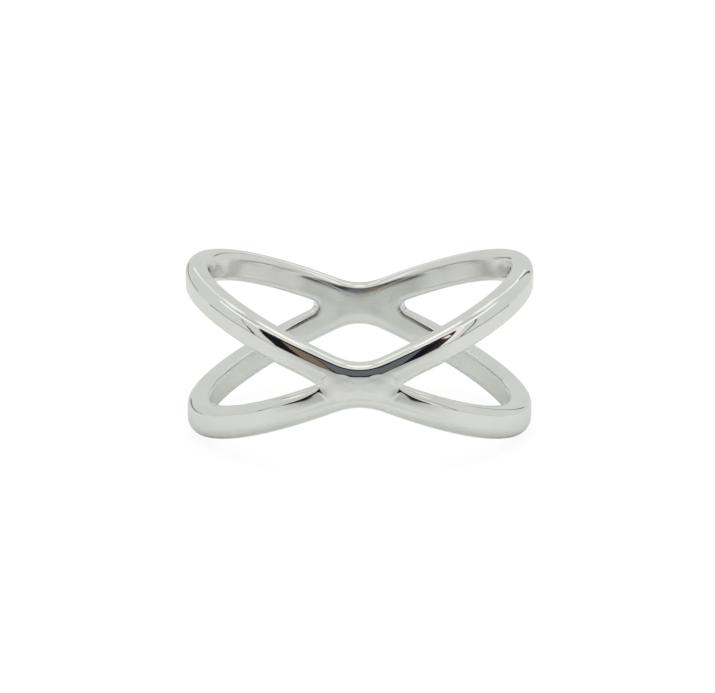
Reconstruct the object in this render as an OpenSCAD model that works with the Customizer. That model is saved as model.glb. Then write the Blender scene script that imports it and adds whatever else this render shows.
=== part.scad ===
/* Crossover ring: one silver casting whose two narrow bands slant across each other
   at the front and again at the rear, so that it reads as an X from either side. The
   bands part at the sides, where an open window lies between them. */

/* [Ring] */
// Diameter of the finger hole, a United States size 7
bore_d = 17.3; // [15:0.1:21]
// Thickness of the silver, from the finger hole to the outside
wall = 1.3; // [1.2:0.02:1.6]
// Width of the ring along its axis, from rim to rim at its sides
ring_w = 9.94; // [9:0.02:12]

/* [Bands] */
// Width of each band where it crosses the ring's sides, along the ring's axis
band_w = 1.9; // [1.7:0.02:2.3]
// How far from the ring's middle the middle of each band passes at a crossing
band_shift = 0.05; // [0:0.01:0.2]
// Radius of the hollow where the two bands run together at a rim
rim_hollow_r = 3.6; // [1.5:0.1:4.5]
// Radius of each window's front end, where the bands part beside the front crossing
front_end_r = 0.1; // [0.08:0.02:0.6]
// Radius of each window's rear end, where the bands part beside the rear crossing
rear_end_r = 0.38; // [0.16:0.02:0.8]

/* [Edges] */
// Rounding of the rims on the outside
rim_outer_round = 0.66; // [0.4:0.02:0.76]
// Rounding of the rims on the inside
rim_inner_round = 0.58; // [0.3:0.02:0.7]
// Rounding of the windows on the outside
window_outer_round = 0.48; // [0.2:0.02:0.6]
// Rounding of the windows on the inside
window_inner_round = 0.3; // [0.2:0.02:0.5]
// Share of a window's rounding that is left at its sharp front end
front_end_share = 0.6; // [0.3:0.05:1]
// How far from its front end a window's rounding is full
front_end_fade = 1.2; // [0.8:0.1:2.5]

/* [Hidden] */

bore_r = bore_d / 2;
outer_r = bore_r + wall;

// The bands run straight in the front view: there a rim is the line z = slope * x + rim_z,
// and a window's edge is the line z = slope * x - window_z
rim_z = band_w / 2 + band_shift;
window_z = band_w / 2 - band_shift;
slope = (ring_w / 2 - rim_z) / outer_r;
tilt = atan(slope);

// Stations round a quarter of the ring, from the middle of a crossing (0) to a side (90)
CROSSING_STEPS = 6;
WINDOW_END_STEPS = 5;
BAND_STEPS = 15;
WINDOW_TIP = CROSSING_STEPS;
BAND_START = WINDOW_TIP + WINDOW_END_STEPS;
SIDE = BAND_START + BAND_STEPS;

// The end of a window is an arc of radius end_r, tangent to the edges of both bands
function end_x(end_r) = window_z / slope + end_r / sin(tilt);
function end_turn(i) = (90 - tilt) * (i - WINDOW_TIP) / WINDOW_END_STEPS;
function end_angle(i, end_r) = asin((end_x(end_r) - end_r * cos(end_turn(i))) / outer_r);
function station_angle(i, end_r) =
    i < WINDOW_TIP ? end_angle(WINDOW_TIP, end_r) * i / CROSSING_STEPS
    : i < BAND_START ? end_angle(i, end_r)
    : let (start = end_angle(BAND_START, end_r))
        start + (90 - start) * pow((i - BAND_START) / BAND_STEPS, 1.3);

// Outlines of the upper half in the front view, as rows of [x, z, dx, dz]: a place on the
// edge at x, and the edge's direction there
hollow_z = rim_z + rim_hollow_r / cos(tilt);
function rim_row(x) =
    let (turn = asin(min(1, x / rim_hollow_r)))
    turn < tilt
        ? [x, hollow_z - rim_hollow_r * cos(turn), cos(turn), sin(turn)]
        : [x, slope * x + rim_z, cos(tilt), sin(tilt)];
function window_row(x, i, end_r) = i < BAND_START
    ? [x, end_r * sin(end_turn(i)), sin(end_turn(i)), cos(end_turn(i))]
    : [x, slope * x - window_z, cos(tilt), sin(tilt)];

// A place [angle, z] at radius r, moved by inset from the outline into the metal, which
// lies below a rim (into = -1) and above a window (into = 1)
function moved_in(row, angle, r, inset, into) =
    let (along = [row[2] * r / outer_r, row[3] * cos(angle)],
         step = into * inset / norm(along))
    [angle - step * along[1] / r * 180 / PI, row[1] + step * along[0]];
function rim_place(i, end_r, r, inset) =
    let (angle = station_angle(i, end_r))
    moved_in(rim_row(outer_r * sin(angle)), angle, r, inset, -1);
function window_place(i, end_r, r, inset) = i < WINDOW_TIP
    ? [window_place(WINDOW_TIP, end_r, r, inset)[0] * i / WINDOW_TIP, 0]
    : let (angle = station_angle(i, end_r))
        moved_in(window_row(outer_r * sin(angle), i, end_r), angle, r, inset, 1);

// The two roundings of an edge leave at least EDGE_FLAT of the wall between them, so a
// thinner wall makes both smaller
EDGE_FLAT = 0.04;
function fit_in_wall(a, b) = min(1, (wall - EDGE_FLAT) / (a + b));
rim_fit = fit_in_wall(rim_outer_round, rim_inner_round);
window_fit = fit_in_wall(window_outer_round, window_inner_round);

// Levels [face_r, step, inset] across an edge, from past the face at face_r to the middle
// of the wall: a place at radius face_r + step. The metal lies inside an outer face
// (side = 1) and outside the bore (side = -1). A rounding stops at LAST_TURN, just short
// of the face, and then runs on straight.
OVERSHOOT = 0.3;
LAST_TURN = 80;
RIM_ROUND_STEPS = 4;
WINDOW_ROUND_STEPS = 3;
function edge_levels(face_r, side, rounding, steps) = concat(
    [[face_r, side * OVERSHOOT, rounding * (1 - cos(LAST_TURN))]],
    [for (s = [steps : -1 : 0]) let (turn = LAST_TURN * s / steps)
        [face_r, -side * rounding * (1 - sin(turn)), rounding * (1 - cos(turn))]]);
function reversed(list) = [for (i = [len(list) - 1 : -1 : 0]) list[i]];
rim_levels = concat(
    edge_levels(outer_r, 1, rim_outer_round * rim_fit, RIM_ROUND_STEPS),
    reversed(edge_levels(bore_r, -1, rim_inner_round * rim_fit, RIM_ROUND_STEPS)));
window_levels = concat(
    edge_levels(bore_r, -1, window_inner_round * window_fit, WINDOW_ROUND_STEPS),
    reversed(edge_levels(outer_r, 1, window_outer_round * window_fit, WINDOW_ROUND_STEPS)));

// One round of levels makes a band's section: over the rim from the outside to the
// inside, then back along the window
RIM_COUNT = len(rim_levels);
levels = concat(rim_levels, window_levels);
COUNT = len(levels);

// The quarter's stations are repeated, mirrored, to go all the way round from the front
STATIONS = 4 * SIDE;
function quarter_station(k) = let (h = k % (2 * SIDE)) h <= SIDE ? h : 2 * SIDE - h;
function is_rear(k) = abs(k - 2 * SIDE) < SIDE;
function end_r_at(k) = is_rear(k) ? rear_end_r : front_end_r;
function all_round(k, angle) =
    let (half = k % (2 * SIDE) <= SIDE ? angle : 180 - angle)
    k < 2 * SIDE ? half : 180 + half;

// A front window's rounding grows from its end to its full size
function round_share(k) = is_rear(k) ? 1
    : let (past = station_angle(max(quarter_station(k), BAND_START), front_end_r)
               - end_angle(BAND_START, front_end_r),
           grown = min(1, past * PI / 180 * outer_r / front_end_fade))
        front_end_share + (1 - front_end_share) * sin(90 * grown);

function ring_point(k, j, up) =
    let (i = quarter_station(k),
         on_rim = j < RIM_COUNT,
         share = on_rim ? 1 : round_share(k),
         r = levels[j][0] + share * levels[j][1],
         inset = share * levels[j][2],
         place = on_rim
             ? rim_place(i, end_r_at(k), r, inset)
             : window_place(i, end_r_at(k), r, inset),
         angle = all_round(k, place[0]))
    [r * sin(angle), -r * cos(angle), ring_w / 2 + up * place[1]];

// The lower half shares the points on the middle line of each crossing with the upper half
function crossing_point(k, j) = j >= RIM_COUNT && quarter_station(k) <= WINDOW_TIP;
function upper_index(k, j) = (k % STATIONS) * COUNT + j % COUNT;
function lower_index(k, j) =
    upper_index(k, j) + (crossing_point(k % STATIONS, j % COUNT) ? 0 : STATIONS * COUNT);
function has_face(k, j) =
    j == COUNT - 1 || !crossing_point(k, j) || !crossing_point((k + 1) % STATIONS, j);

// The two bands with their rounded edges, a little too thick on both faces
module band_blank() {
    points = [for (up = [1, -1]) for (k = [0 : STATIONS - 1]) for (j = [0 : COUNT - 1])
        ring_point(k, j, up)];
    cells = [for (k = [0 : STATIONS - 1]) for (j = [0 : COUNT - 1]) if (has_face(k, j)) [k, j]];
    upper = [for (c = cells)
        [upper_index(c[0], c[1]), upper_index(c[0], c[1] + 1),
         upper_index(c[0] + 1, c[1] + 1), upper_index(c[0] + 1, c[1])]];
    lower = [for (c = cells)
        [lower_index(c[0] + 1, c[1]), lower_index(c[0] + 1, c[1] + 1),
         lower_index(c[0], c[1] + 1), lower_index(c[0], c[1])]];
    polyhedron(points, concat(upper, lower));
}

// A plain round tube, longer than the ring is wide, with the finger hole through it
module tube() {
    translate([0, 0, -OVERSHOOT])
        difference() {
            cylinder(h = ring_w + 2 * OVERSHOOT, r = outer_r, $fn = 180);
            translate([0, 0, -OVERSHOOT])
                cylinder(h = ring_w + 4 * OVERSHOOT, r = bore_r, $fn = 180);
        }
}

module crossover_band() {
    color("silver")
        intersection() {
            band_blank();
            tube();
        }
}

crossover_band();
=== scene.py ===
import math

import bmesh
import bpy
from mathutils import Matrix, Vector


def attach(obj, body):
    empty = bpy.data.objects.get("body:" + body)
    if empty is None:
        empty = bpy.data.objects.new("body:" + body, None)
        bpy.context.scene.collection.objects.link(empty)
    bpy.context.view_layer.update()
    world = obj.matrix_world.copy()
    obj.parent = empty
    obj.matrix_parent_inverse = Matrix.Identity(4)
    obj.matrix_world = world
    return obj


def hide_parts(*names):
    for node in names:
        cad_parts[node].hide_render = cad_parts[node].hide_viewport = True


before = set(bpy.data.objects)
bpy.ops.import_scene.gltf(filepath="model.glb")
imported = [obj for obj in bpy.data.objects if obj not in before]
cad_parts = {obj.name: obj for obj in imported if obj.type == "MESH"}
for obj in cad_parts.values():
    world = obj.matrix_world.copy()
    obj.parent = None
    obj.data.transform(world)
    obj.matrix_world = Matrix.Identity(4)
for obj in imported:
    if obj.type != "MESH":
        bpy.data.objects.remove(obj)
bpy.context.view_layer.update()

# The ring's form. It is one silver casting: two narrow bands slant across each other at the
# front and at the rear and run together there, with an open window between them at either
# side. Its edges are filed round, more on the rims than along the windows.
# Lengths are in millimetres until the finished mesh is scaled by MM.
MM = 0.001
bore_r = 17.3 / 2
wall = 1.3
outer_r = bore_r + wall
ring_w = 9.94
band_w = 1.9
band_shift = 0.05
rim_hollow_r = 3.6
front_end_r = 0.1
rear_end_r = 0.38
rim_outer_round = 0.66
rim_inner_round = 0.58
window_outer_round = 0.48
window_inner_round = 0.3
front_end_share = 0.6
front_end_fade = 1.2
rim_z = band_w / 2 + band_shift
window_z = band_w / 2 - band_shift
slope = (ring_w / 2 - rim_z) / outer_r
tilt = math.atan(slope)
side_u = outer_r * math.pi / 2

# Polishing crowns the outer face: it drops towards the rims, and towards the windows where
# the bands have parted
crown = 0.02
CROWN_REACH = 1.1
PARTING_START = 2
PARTING_LENGTH = 1.5
# It also rolls the outer face in beside a front window, most of all just past its tip
front_roll = 0.089
ROLL_REACH = 0.51
ROLL_AT_TIP = 0.6
ROLL_GROWTH = 0.8
ROLL_END = 2.2
ROLL_FADE = 1.4

# How finely the flat plate is cut before it is bent round and smoothed
TIP_CUTS = 8
BAND_CUTS = 24
ROWS = (0, 0.25, 0.4, 0.56, 1)
VALLEY_CUT = 3
VALLEY_STEP = 0.25
OUTLINE_CUTS = 8
SLACK = 1e-4
# Each rounding is cut in two passes, as shares of its radius: a chamfer, then one on each of
# the chamfer's own edges, which smooth out to a true round. A pass takes the edges that lie
# within a share of the radius from the face and bend by more than an angle in degrees.
CHAMFER = 2 - math.sqrt(2)
SECOND_CHAMFER = math.tan(math.pi / 8) - math.tan(math.pi / 16)
CHAMFER_PASSES = ((CHAMFER, 1 / 6, 80), (SECOND_CHAMFER, 1, 40))


def window_edge(i, end_r):
    """Point (u, z) on a window's outline: round its end, then along the band to the side."""
    turn = (math.pi / 2 - tilt) * min(i, TIP_CUTS) / TIP_CUTS
    x = window_z / slope + end_r / math.sin(tilt) - end_r * math.cos(turn)
    start = outer_r * math.asin(x / outer_r)
    if i <= TIP_CUTS:
        return start, end_r * math.sin(turn)
    u = start + (side_u - start) * (i - TIP_CUTS) / BAND_CUTS
    return u, slope * outer_r * math.sin(u / outer_r) - window_z


def rim_height(u):
    """Height of the rim above the ring's middle: a round hollow at the crossing, then straight."""
    x = outer_r * math.sin(u / outer_r)
    if x < rim_hollow_r * math.sin(tilt):
        return rim_z + rim_hollow_r / math.cos(tilt) - math.sqrt(rim_hollow_r**2 - x**2)
    return slope * x + rim_z


def far_edge(i, end_r):
    """Point (u, z) across the metal from that one: up the crossing's middle, then on the rim."""
    if i < VALLEY_CUT:
        return 0, VALLEY_STEP * i
    corner = window_edge(TIP_CUTS, end_r)[0] - band_w * math.sin(tilt) * math.cos(tilt)
    if i <= TIP_CUTS:
        u = corner * (i - VALLEY_CUT + 1) / (TIP_CUTS - VALLEY_CUT + 1)
    else:
        u = corner + (side_u - corner) * (i - TIP_CUTS) / BAND_CUTS
    return u, rim_height(u)


def round_edges(plate, level, is_rim, radius):
    """Chamfer the rims' or the windows' edges on one face of the plate, in both passes."""
    for share, reach, least_angle in CHAMFER_PASSES:
        chosen = []
        for e in plate.edges:
            a, b = (v.co for v in e.verts)
            middle = (a + b) / 2
            on_rim = abs(middle.y) > slope * outer_r * math.sin(abs(middle.x) / outer_r)
            at_end = abs(a.x) > side_u - SLACK and abs(b.x) > side_u - SLACK
            along = abs(a.z - b.z) < SLACK
            if (abs(a.z - level) < reach * radius and along and not at_end
                    and on_rim == is_rim and e.calc_face_angle() > math.radians(least_angle)):
                chosen.append(e)
        bmesh.ops.bevel(plate, geom=chosen, offset=share * radius, offset_type="OFFSET",
                        segments=1, profile=0.5, affect="EDGES", material=-1,
                        clamp_overlap=False, loop_slide=False)


def ease_window_ends(plate, top, bottom, end_r, end_share):
    """Shrink a window's roundings toward its end, to end_share, and roll the outer face in
    beside a front window."""
    outline = [Vector(window_edge(i / OUTLINE_CUTS, end_r))
               for i in range(OUTLINE_CUTS * (TIP_CUTS + BAND_CUTS) + 1)]
    for v in plate.verts:
        level, radius = ((top, window_outer_round) if v.co.z > (top + bottom) / 2
                         else (bottom, window_inner_round))
        corner = Vector((abs(v.co.x), abs(v.co.y)))
        edge = min(outline, key=lambda point: (point - corner).length)
        if max((edge - corner).length, abs(v.co.z - level)) < radius:
            grown = min(1, max(0, edge.x - window_edge(TIP_CUTS, end_r)[0]) / front_end_fade)
            share = end_share + (1 - end_share) * math.sin(math.pi / 2 * grown)
            moved = edge + share * (corner - edge)
            v.co = (math.copysign(moved.x, v.co.x), math.copysign(moved.y, v.co.y),
                    level + share * (v.co.z - level))
            corner = moved
        near, past = (edge - corner).length, edge.x - window_edge(0, end_r)[0]
        if end_share < 1 and level == top and near < ROLL_REACH:
            grown = min(1, ROLL_AT_TIP + ROLL_GROWTH * past)
            faded = min(1, max(0, ROLL_END - past) / ROLL_FADE)
            v.co.z -= front_roll * (1 - near / ROLL_REACH) * grown * faded


def flat_half(end_r, end_share):
    """Half of the ring, from side to side, as a flat plate with its edges rounded."""
    plate = bmesh.new()
    cuts = TIP_CUTS + BAND_CUTS
    bmesh.ops.create_grid(plate, x_segments=cuts, y_segments=len(ROWS) - 1, size=1)
    far = {}
    for v in plate.verts:
        i = round((v.co.x + 1) / 2 * cuts)
        row = round((v.co.y + 1) / 2 * (len(ROWS) - 1))
        near_point, far_point = Vector(window_edge(i, end_r)), Vector(far_edge(i, end_r))
        v.co = near_point.lerp(far_point, ROWS[row]).to_3d()
        if row == len(ROWS) - 1:
            far[i] = v
    rim_edge = plate.edges.get((far[VALLEY_CUT - 1], far[VALLEY_CUT]))
    valley = bmesh.utils.edge_split(rim_edge, far[VALLEY_CUT - 1], 0.5)[1]
    valley.co = (0, rim_height(0), 0)
    for axis in "YX":
        bmesh.ops.mirror(plate, geom=plate.verts[:] + plate.edges[:] + plate.faces[:],
                         merge_dist=1e-5, axis=axis)
    bmesh.ops.recalc_face_normals(plate, faces=plate.faces)
    bmesh.ops.solidify(plate, geom=plate.faces[:], thickness=wall)
    heights = [v.co.z for v in plate.verts]
    top, bottom = max(heights), min(heights)
    round_edges(plate, top, True, rim_outer_round)
    round_edges(plate, bottom, True, rim_inner_round)
    round_edges(plate, top, False, window_outer_round)
    round_edges(plate, bottom, False, window_inner_round)
    ease_window_ends(plate, top, bottom, end_r, end_share)
    ends = [f for f in plate.faces if all(abs(v.co.x) > side_u - SLACK for v in f.verts)]
    bmesh.ops.delete(plate, geom=ends, context="FACES")
    for v in plate.verts:
        v.co.z -= top
    return plate


def crown_drop(u, z):
    """How far the outer face, crowned by polishing, drops towards its edges."""
    u, z = abs(u), abs(z)
    x = outer_r * math.sin(u / outer_r)
    parted = min(1, max(0, x - PARTING_START) / PARTING_LENGTH)
    parted *= parted * (3 - 2 * parted)
    from_rim = (rim_height(u) - z) * math.cos(tilt)
    from_window = (z - slope * x + window_z) * math.cos(tilt)
    return crown * (max(0, 1 - from_rim / CROWN_REACH) ** 2
                    + parted * max(0, 1 - from_window / CROWN_REACH) ** 2)


# Both halves are bent round the finger hole and joined at the sides
ring = bmesh.new()
for end_r, end_share, turn in ((front_end_r, front_end_share, 0), (rear_end_r, 1, math.pi)):
    plate = flat_half(end_r, end_share)
    for v in plate.verts:
        angle, r = v.co.x / outer_r + turn, outer_r + v.co.z
        if v.co.z > -wall / 2:
            r -= crown_drop(v.co.x, v.co.y)
        v.co = (r * math.sin(angle), -r * math.cos(angle), ring_w / 2 + v.co.y)
    half = bpy.data.meshes.new("half")
    plate.to_mesh(half)
    ring.from_mesh(half)
    bpy.data.meshes.remove(half)
bmesh.ops.remove_doubles(ring, verts=ring.verts, dist=1e-3)
bmesh.ops.recalc_face_normals(ring, faces=ring.faces)
bmesh.ops.scale(ring, vec=(MM, MM, MM), verts=ring.verts)
ring_mesh = bpy.data.meshes.new("silver_ring")
ring.to_mesh(ring_mesh)
ring_mesh.shade_smooth()
silver_ring = bpy.data.objects.new("silver_ring", ring_mesh)
bpy.context.scene.collection.objects.link(silver_ring)
smoothing = silver_ring.modifiers.new("smoothing", "SUBSURF")
smoothing.levels = smoothing.render_levels = 2

# Polished sterling silver: a mirror with the faint unevenness that hand polishing leaves, and
# fine lines along the bands, the way the polishing stick went. The inside is duller and a
# little mottled, except near the sides.
darker_silver = (0.9, 0.9, 0.885, 1)
lighter_silver = (0.95, 0.95, 0.938, 1)
LINE_STRETCH = 20
# The dull finish is full up to DULL_DEPTH into the wall, and gone at BRIGHT_DEPTH. Nearer the
# sides than SIDE_START only SIDE_SHARE of it is left, and from SIDE_END on it is full.
DULL_DEPTH = 0.15
BRIGHT_DEPTH = 0.45
SIDE_START = 1
SIDE_END = 4
SIDE_SHARE = 0.12
# A noise texture's values nearly all lie between these
NOISE_LOW, NOISE_HIGH = 0.3, 0.7
silver = bpy.data.materials.new("polished_silver")
silver.use_nodes = True
nodes, links = silver.node_tree.nodes, silver.node_tree.links
metal = nodes["Principled BSDF"]
metal.inputs["Metallic"].default_value = 1


def feed(socket, value):
    """Give a shader's input its value, which is plain or comes from another node's socket."""
    if isinstance(value, bpy.types.NodeSocket):
        links.new(value, socket)
    else:
        socket.default_value = value


def math_node(operation, *values):
    """The result of a Math node of the material at hand."""
    node = nodes.new("ShaderNodeMath")
    node.operation = operation
    for socket, value in zip(node.inputs, values):
        feed(socket, value)
    return node.outputs["Value"]


def spread(value, start, end, low=0, high=1):
    """A value spread out, so that start to end becomes low to high and no more."""
    node = nodes.new("ShaderNodeMapRange")
    for name, number in (("Value", value), ("From Min", start), ("From Max", end),
                         ("To Min", low), ("To Max", high)):
        feed(node.inputs[name], number)
    return node.outputs["Result"]


def mixed(share, first, second):
    """The colour at a share of the way between two colours."""
    node = nodes.new("ShaderNodeMix")
    node.data_type = "RGBA"
    for name, value in (("Factor", share), ("A", first), ("B", second)):
        feed(node.inputs[name], value)
    return node.outputs["Result"]


def noise(where, scale, detail, low, high):
    """A soft noise at a place, of so many cycles a metre, between two values."""
    texture = nodes.new("ShaderNodeTexNoise")
    texture.inputs["Scale"].default_value = scale
    texture.inputs["Detail"].default_value = detail
    links.new(where, texture.inputs["Vector"])
    return spread(texture.outputs["Fac"], NOISE_LOW, NOISE_HIGH, low, high)


def object_place():
    """The place on the object, and its parts along X, Y and Z."""
    place = nodes.new("ShaderNodeTexCoord").outputs["Object"]
    parts = nodes.new("ShaderNodeSeparateXYZ")
    links.new(place, parts.inputs["Vector"])
    return place, parts.outputs["X"], parts.outputs["Y"], parts.outputs["Z"]


place, x, y, z = object_place()
above = math_node("ABSOLUTE", math_node("SUBTRACT", z, ring_w / 2 * MM))
across = math_node("SUBTRACT", above, math_node("MULTIPLY", math_node("ABSOLUTE", x), slope))
along_band = nodes.new("ShaderNodeCombineXYZ")
links.new(math_node("MULTIPLY", x, 1 / LINE_STRETCH), along_band.inputs["X"])
links.new(math_node("MULTIPLY", y, 1 / LINE_STRETCH), along_band.inputs["Y"])
links.new(across, along_band.inputs["Z"])
cloudy = noise(place, scale=350, detail=3, low=0, high=1)
links.new(mixed(cloudy, darker_silver, lighter_silver), metal.inputs["Base Color"])

from_axis = math_node("SQRT", math_node("ADD", math_node("POWER", x, 2),
                                        math_node("POWER", y, 2)))
inside = spread(from_axis, (bore_r + BRIGHT_DEPTH) * MM, (bore_r + DULL_DEPTH) * MM)
from_side = spread(math_node("ABSOLUTE", y), SIDE_START * MM, SIDE_END * MM, SIDE_SHARE)
mottled = noise(place, scale=600, detail=3, low=0.09, high=0.24)
dullness = math_node("MULTIPLY", math_node("MULTIPLY", inside, from_side), mottled)
polish = noise(place, scale=500, detail=4, low=0.03, high=0.075)
links.new(math_node("ADD", polish, dullness), metal.inputs["Roughness"])

waves = nodes.new("ShaderNodeBump")
waves.inputs["Strength"].default_value = 1
waves.inputs["Distance"].default_value = 1e-6
unevenness = noise(place, scale=450, detail=1, low=0, high=2)
fine_lines = noise(along_band.outputs["Vector"], scale=1800, detail=2, low=0, high=1.2)
links.new(math_node("ADD", unevenness, fine_lines), waves.inputs["Height"])
links.new(waves.outputs["Normal"], metal.inputs["Normal"])
ring_mesh.materials.append(silver)

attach(silver_ring, "root")
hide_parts("crossover_band")

# The table that the ring lies on: matt white card, which the camera sees mostly as an even
# glow. The ring's mirror sees only a round of it, which fades out into the bowl below.
FLOOR_R = 3
FLOOR_DEPTH = 1e-4
FADE_START = 0.012
FADE_END = 0.02
FADED_R = 0.022
GLOW_SHARE = 0.8
card = bpy.data.materials.new("white_card")
card.use_nodes = True
nodes, links = card.node_tree.nodes, card.node_tree.links
nodes.clear()
out = nodes.new("ShaderNodeOutputMaterial")
distance = nodes.new("ShaderNodeVectorMath")
distance.operation = "LENGTH"
links.new(nodes.new("ShaderNodeTexCoord").outputs["Object"], distance.inputs[0])
matt = nodes.new("ShaderNodeBsdfDiffuse")
matt.inputs["Color"].default_value = (0.84, 0.855, 0.83, 1)
bright = nodes.new("ShaderNodeEmission")
bright.inputs["Strength"].default_value = 1.1
clear = nodes.new("ShaderNodeBsdfTransparent")
ray = nodes.new("ShaderNodeLightPath")
both = nodes.new("ShaderNodeMixShader")
links.new(math_node("MULTIPLY", ray.outputs["Is Camera Ray"], GLOW_SHARE), both.inputs["Fac"])
links.new(matt.outputs["BSDF"], both.inputs[1])
links.new(bright.outputs["Emission"], both.inputs[2])
faded = nodes.new("ShaderNodeMixShader")
links.new(math_node("MULTIPLY", ray.outputs["Is Glossy Ray"],
                    spread(distance.outputs["Value"], FADE_START, FADE_END)),
          faded.inputs["Fac"])
links.new(both.outputs["Shader"], faded.inputs[1])
links.new(clear.outputs["BSDF"], faded.inputs[2])
links.new(faded.outputs["Shader"], out.inputs["Surface"])
for name, radius, depth in (("floor", FLOOR_R, FLOOR_DEPTH), ("mirrored_card", FADED_R, 0)):
    sheet = bmesh.new()
    bmesh.ops.create_circle(sheet, cap_ends=True, segments=96, radius=radius)
    bmesh.ops.translate(sheet, verts=sheet.verts, vec=(0, 0, -depth))
    mesh = bpy.data.meshes.new(name)
    sheet.to_mesh(mesh)
    mesh.materials.append(card)
    disc = bpy.data.objects.new(name, mesh)
    bpy.context.scene.collection.objects.link(disc)
    disc.visible_glossy = name == "mirrored_card"
    disc.visible_camera = disc.visible_diffuse = name == "floor"


# What the ring's mirror sees of the studio: a white tent, open in front in an arch on a dark
# room with a brown and a slate-grey screen in it, and brighter cloth round the arch
def cloth(name, distance, corners, colour, arch=0):
    """A bent sheet facing the ring. Its corners are (degrees round, degrees up) at the lower
    left, lower right, upper right and upper left; arch lifts the middle of its top."""
    sheet = bmesh.new()
    bmesh.ops.create_grid(sheet, x_segments=24, y_segments=12, size=1)
    for v in sheet.verts:
        x, y = (v.co.x + 1) / 2, (v.co.y + 1) / 2
        low = Vector(corners[0]).lerp(Vector(corners[1]), x)
        high = Vector(corners[3]).lerp(Vector(corners[2]), x)
        around, up = low.lerp(high, y)
        up += arch * y * (1 - (2 * x - 1) ** 2)
        turn = Matrix.Rotation(math.radians(around), 3, "Z") @ Matrix.Rotation(
            math.radians(-up), 3, "X")
        v.co = turn @ Vector((0, -distance, 0))
    mesh = bpy.data.meshes.new(name)
    sheet.to_mesh(mesh)
    material = bpy.data.materials.new(name)
    material.use_nodes = True
    glow = material.node_tree.nodes.new("ShaderNodeEmission")
    glow.inputs["Color"].default_value = (*colour, 1)
    material.node_tree.links.new(glow.outputs["Emission"],
                                 material.node_tree.nodes["Material Output"].inputs["Surface"])
    mesh.materials.append(material)
    hung = bpy.data.objects.new(name, mesh)
    bpy.context.scene.collection.objects.link(hung)
    hung.visible_camera = hung.visible_diffuse = hung.visible_shadow = False
    return hung


# The bowl is the table as the ring's mirror sees it: a glowing sheet with the table's light and
# shade painted on. Far in front it has a painted tone for each angle below the ring's height,
# down to BOWL_FOOT, with painted shade darkest near its rim, and from PALE_Y on to the rear it
# is evenly pale.
BOWL_R = 3.5
BOWL_FOOT = 33
BOWL_RIM = 11
PAINTED_TABLE_TONES = ((33, 0.66), (20, 0.62), (18, 0.65), (16.6, 0.72), (15.2, 0.62), (14, 0.54),
               (13, 0.49), (11, 0.46))
TONED_Y = -3
PALE_Y = -1.5
pale_table = (0.72, 0.73, 0.705, 1)
bowl = cloth("table_bowl", BOWL_R,
             ((-180, -89), (180, -89), (180, -BOWL_RIM), (-180, -BOWL_RIM)), (1, 1, 1))
nodes, links = bowl.active_material.node_tree.nodes, bowl.active_material.node_tree.links
y, z = object_place()[2:]
foot_sine, rim_sine = (math.sin(math.radians(degrees)) for degrees in (BOWL_FOOT, BOWL_RIM))
# The ramp holds the table's painted light and shade in front, by angle below the ring
tones = nodes.new("ShaderNodeValToRGB")
ramp = tones.color_ramp
for degrees, tone in PAINTED_TABLE_TONES:
    position = (foot_sine - math.sin(math.radians(degrees))) / (foot_sine - rim_sine)
    stop = ramp.elements.new(position) if 0 < position < 1 else ramp.elements[-round(position)]
    stop.color = (0.995 * tone, 1.01 * tone, 0.975 * tone, 1)
links.new(spread(z, -BOWL_R * foot_sine, -BOWL_R * rim_sine), tones.inputs["Fac"])
links.new(mixed(spread(y, TONED_Y, PALE_Y), tones.outputs["Color"], pale_table),
          nodes["Emission"].inputs["Color"])

# The sheets follow with their distance from the ring, corners and colour, and some an arch.
# The dark arch: the cloth over it, the room, and what stands in the room from left to right
slate = (0.122, 0.133, 0.144)
cloth("bright_cloth", 3.1, ((-58, 40), (56, 40), (56, 61), (-58, 61)), (0.83, 0.8, 0.78), 10)
cloth("dark_room", 3, ((-54, -7), (50, -6), (50, 47), (-54, 46)), (0.045, 0.042, 0.04), 12)
cloth("black_left", 2.9, ((-54, -10), (-34, -9), (-34, 45), (-54, 43)), (0.011, 0.011, 0.014))
cloth("brown_screen", 2.9, ((-33, -8.8), (-13.5, -7.2), (-8, 43), (-33, 43)),
      (0.205, 0.156, 0.119))
cloth("slate_screen", 2.9, ((-11, -6), (22, -6), (20, 51), (-5, 51)), slate)
cloth("slate_foot", 2.9, ((-11, -12.8), (11.5, -12.8), (17, -6), (-13, -6)), slate)
cloth("black_right", 2.8, ((23, -6), (38, -9.3), (37, 48), (21, 40)), (0.008, 0.008, 0.013))
cloth("olive_right", 2.9, ((38, -9.3), (50, -8.5), (51, 45), (37, 46)), (0.027, 0.023, 0.015))
cloth("pale_window", 2.8, ((45, 24), (49, 24), (44, 42), (38, 42)), (0.82, 0.74, 0.7))
cloth("bright_right", 3, ((50, -8.5), (58, -9), (59, 43), (51, 45)), (0.85, 0.81, 0.77))

# The tent's brighter and greyer cloth beside the arch and round to the rear
white = (1, 1, 0.99)
grey = (0.54, 0.54, 0.53)
pale = (0.93, 0.94, 0.9)
cloth("white_left", 2.9, ((-103, 40), (-56, 43), (-56, 52), (-103, 46)), white, 2)
cloth("white_rear_left", 2.9, ((-163, 22), (-157, 21), (-143, 45), (-149, 47)),
      (0.92, 0.92, 0.9))
cloth("white_high_left", 2.9, ((-149, 47), (-143, 45), (-120, 58), (-129, 60)),
      (0.88, 0.88, 0.86))
cloth("white_right", 2.9, ((56, 43), (84, 40), (84, 50), (56, 55)), white)
cloth("white_far_right", 2.9, ((84, 41), (100, 42), (100, 49), (84, 50)), white)
cloth("white_rear_right", 2.9, ((152, 22), (158, 22), (141, 47), (127, 46)), (0.96, 0.96, 0.94))
cloth("white_high_right", 2.9, ((127, 46), (141, 47), (133, 60), (123, 59)), (0.92, 0.92, 0.9))
cloth("grey_left", 3, ((-97, 50), (-60, 54), (-60, 69), (-97, 69)), grey)
cloth("grey_right", 3, ((60, 56), (97, 52), (97, 69), (60, 69)), grey)
cloth("pale_rear_left", 2.9, ((-140, 59), (-98, 59), (-98, 73), (-140, 73)), pale)
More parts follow.
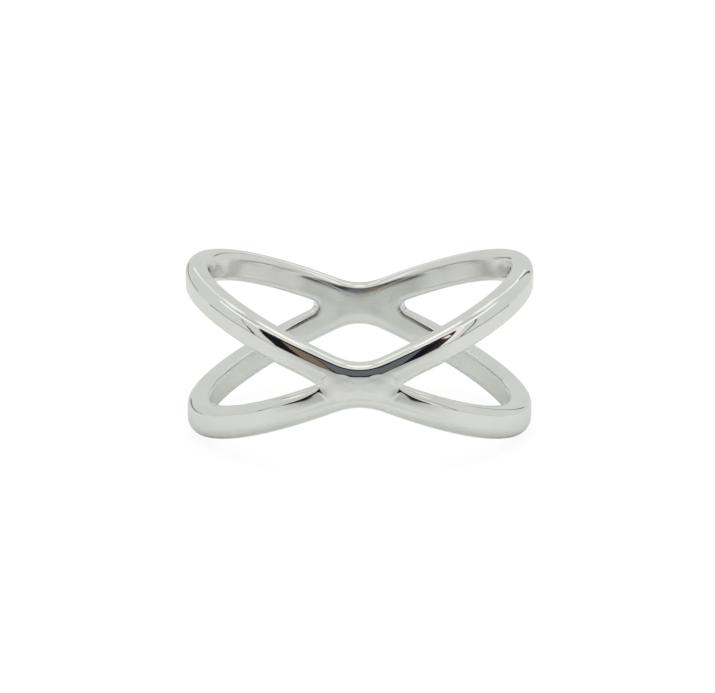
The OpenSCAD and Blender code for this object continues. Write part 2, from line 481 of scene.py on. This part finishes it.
cloth("pale_rear_right", 2.9, ((98, 59), (146, 59), (146, 73), (98, 73)), pale)

# The tent's seams
cloth("seam_left", 2.8, ((-73, -12.5), (-69.7, -12.5), (-67.8, 8), (-70, 8)), (0.02,) * 3)
cloth("seam_top", 2.8, ((-70.4, 8), (-69, 8), (-70, 33), (-71.4, 33)), (0.22,) * 3)
cloth("seam_right", 2.8, ((66.8, -12.5), (69.4, -12.5), (71, 38), (69, 38)), (0.08,) * 3)
cloth("rear_line_left", 2.7, ((-162, 1), (-128, -8), (-128, -5), (-162, 5)), (0.2,) * 3)
cloth("rear_line_right", 2.7, ((147, 4), (151, 4), (144, 34), (140, 34)), (0.16,) * 3)

# The table's far edge, and the dark lines along the foot of the screens and over the arch
edge_grey = (0.32, 0.32, 0.32)
foot_shade = (0.03, 0.029, 0.026)
cloth("table_edge_left", 2.7, ((-115, -12.6), (-54, -12.6), (-54, -11), (-115, -11)), edge_grey)
cloth("table_edge_right", 2.7, ((58, -12.6), (115, -12.6), (115, -11), (58, -11)), edge_grey)
cloth("far_table", 3.3, ((-54, -11.2), (58, -11.2), (58, -3), (-54, -3)), (0.458, 0.465, 0.449))
foot_line = ((-17, -7.2, -2), (-11, -12.9, -8), (11.5, -12.9, -8), (17, -6.2, -1),
             (23, -6.2, -1))
for i in range(len(foot_line) - 1):
    (left, low, high), (right, next_low, next_high) = foot_line[i], foot_line[i + 1]
    cloth("dark_foot_%d" % (i + 1), 2.6,
          ((left, low), (right, next_low), (right, next_high), (left, high)), foot_shade)
cloth("brown_foot", 2.7, ((-34, -9.2), (-16, -7.4), (-16, -4), (-34, -6)), (0.06, 0.052, 0.045))
cloth("dark_lintel", 2.7, ((-40, 46.5), (36, 46.5), (36, 54), (-40, 53)),
      (0.014, 0.014, 0.016), 4)
cloth("overhead_cloth", 4, ((-180, 79), (180, 79), (180, 90), (-180, 90)), (1.03, 1.03, 1.02))

# The light: the tent's cloth glows all round, and a lamp over the ring lights the card. The
# camera sees the cloth whiter than the ring's mirror does.
lamp_data = bpy.data.lights.new("overhead_lamp", "AREA")
lamp_data.shape = "DISK"
lamp_data.size = 1
lamp_data.energy = 2.6
lamp = bpy.data.objects.new("overhead_lamp", lamp_data)
lamp.location = (0, 0, 1)
lamp.visible_glossy = False
bpy.context.scene.collection.objects.link(lamp)
studio = bpy.data.worlds.new("studio")
studio.use_nodes = True
nodes, links = studio.node_tree.nodes, studio.node_tree.links
ray = nodes.new("ShaderNodeLightPath")
mirrored_cloth = (0.64, 0.652, 0.63, 1)
seen_cloth = (1.05, 1.05, 1.05, 1)
links.new(mixed(ray.outputs["Is Camera Ray"], mirrored_cloth, seen_cloth),
          nodes["Background"].inputs["Color"])
bpy.context.scene.world = studio
bpy.context.scene.view_settings.view_transform = "Standard"

# The camera stands as the photograph's did, a little above the table
ELEVATION = math.radians(14.731)
DISTANCE = 0.16505
AIM_HEIGHT = 0.00505
camera_data = bpy.data.cameras.new("camera")
camera_data.lens = 144.2
camera_data.shift_x = -0.00276
camera_data.shift_y = -0.00868
camera_data.clip_start = 0.01
camera = bpy.data.objects.new("camera", camera_data)
camera.location = (0, -DISTANCE * math.cos(ELEVATION),
                   AIM_HEIGHT + DISTANCE * math.sin(ELEVATION))
camera.rotation_euler = (math.pi / 2 - ELEVATION, 0, 0)
bpy.context.scene.collection.objects.link(camera)
bpy.context.scene.camera = camera
